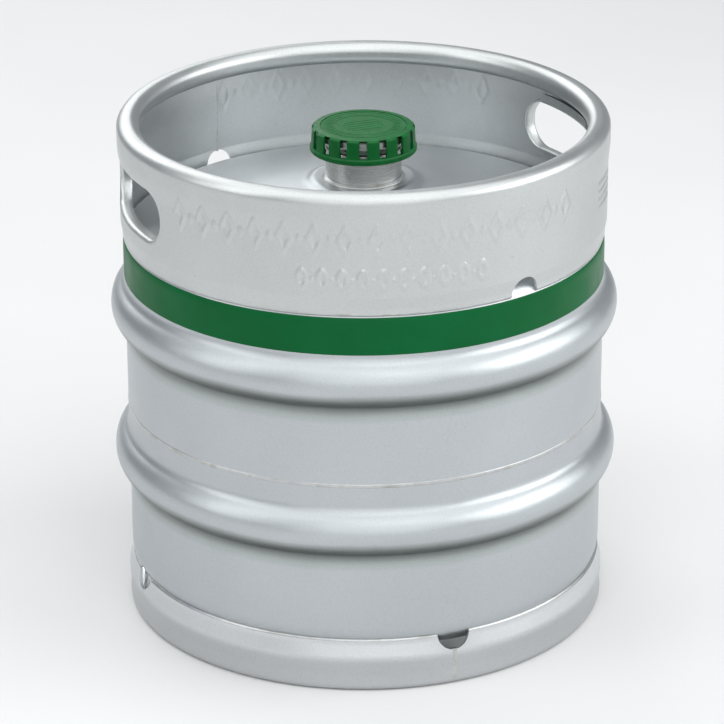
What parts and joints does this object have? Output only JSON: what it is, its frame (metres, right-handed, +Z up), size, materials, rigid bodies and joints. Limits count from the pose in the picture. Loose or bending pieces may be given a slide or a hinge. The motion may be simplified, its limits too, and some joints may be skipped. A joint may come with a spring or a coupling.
{
  "type": "beer keg",
  "caption": "Stainless steel beer keg with rolling hoops, a rolled top chime with hand holes, a foot ring, a coloured band and a capped flat slider fitting with spear.",
  "frame": {"origin": "centre of the foot ring on the floor", "axes": "+Z up along the keg's axis, -Y the front with the foot ring's seam, hand holes near -X and +X"},
  "size_m": [0.381, 0.381, 0.386],
  "materials": {
    "shell_steel": "satin, pickled stainless",
    "chime_steel": "satin, pickled stainless",
    "weld_steel": "rippled weld bead",
    "green_lacquer": "lacquered, half gloss",
    "cap_plastic": "moulded, slight sheen",
    "fitting_steel": "turned",
    "spring_steel": "drawn wire",
    "rubber_seal": "moulded"
  },
  "bodies": {
    "keg": {"upper_shell": "shell_steel", "lower_shell": "shell_steel", "girth_weld": "weld_steel", "colour_band": "green_lacquer", "top_chime": "chime_steel", "top_chime_seam": "weld_steel", "top_chime_weld": "weld_steel", "bottom_chime": "chime_steel", "bottom_chime_seam": "weld_steel", "bottom_chime_weld": "weld_steel", "neck_socket": "fitting_steel", "neck_weld": "weld_steel", "neck_gasket": "rubber_seal", "fitting_body": "fitting_steel", "safety_snap_ring": "spring_steel", "valve_cage": "fitting_steel", "valve_spring": "spring_steel", "centre_plug": "fitting_steel", "spear_tube": "fitting_steel", "spear_collar": "fitting_steel", "spear_circlip": "spring_steel"},
    "valve": {"seal_carrier": "fitting_steel", "valve_seal": "rubber_seal", "spear_o_ring": "rubber_seal"},
    "cap": {"keg_cap": "cap_plastic"}
  },
  "joints": [
    {"name": "cap_lift", "type": "slide", "parent": "keg", "child": "cap", "axis": [0, 0, 1], "range_m": [0, 0.06]},
    {"name": "valve_stroke", "type": "slide", "parent": "keg", "child": "valve", "axis": [0, 0, 1], "range_m": [-0.008, 0], "stiffness_N_per_m": 2000, "springref_m": 0.005, "deforming": ["valve_spring"]}
  ]
}
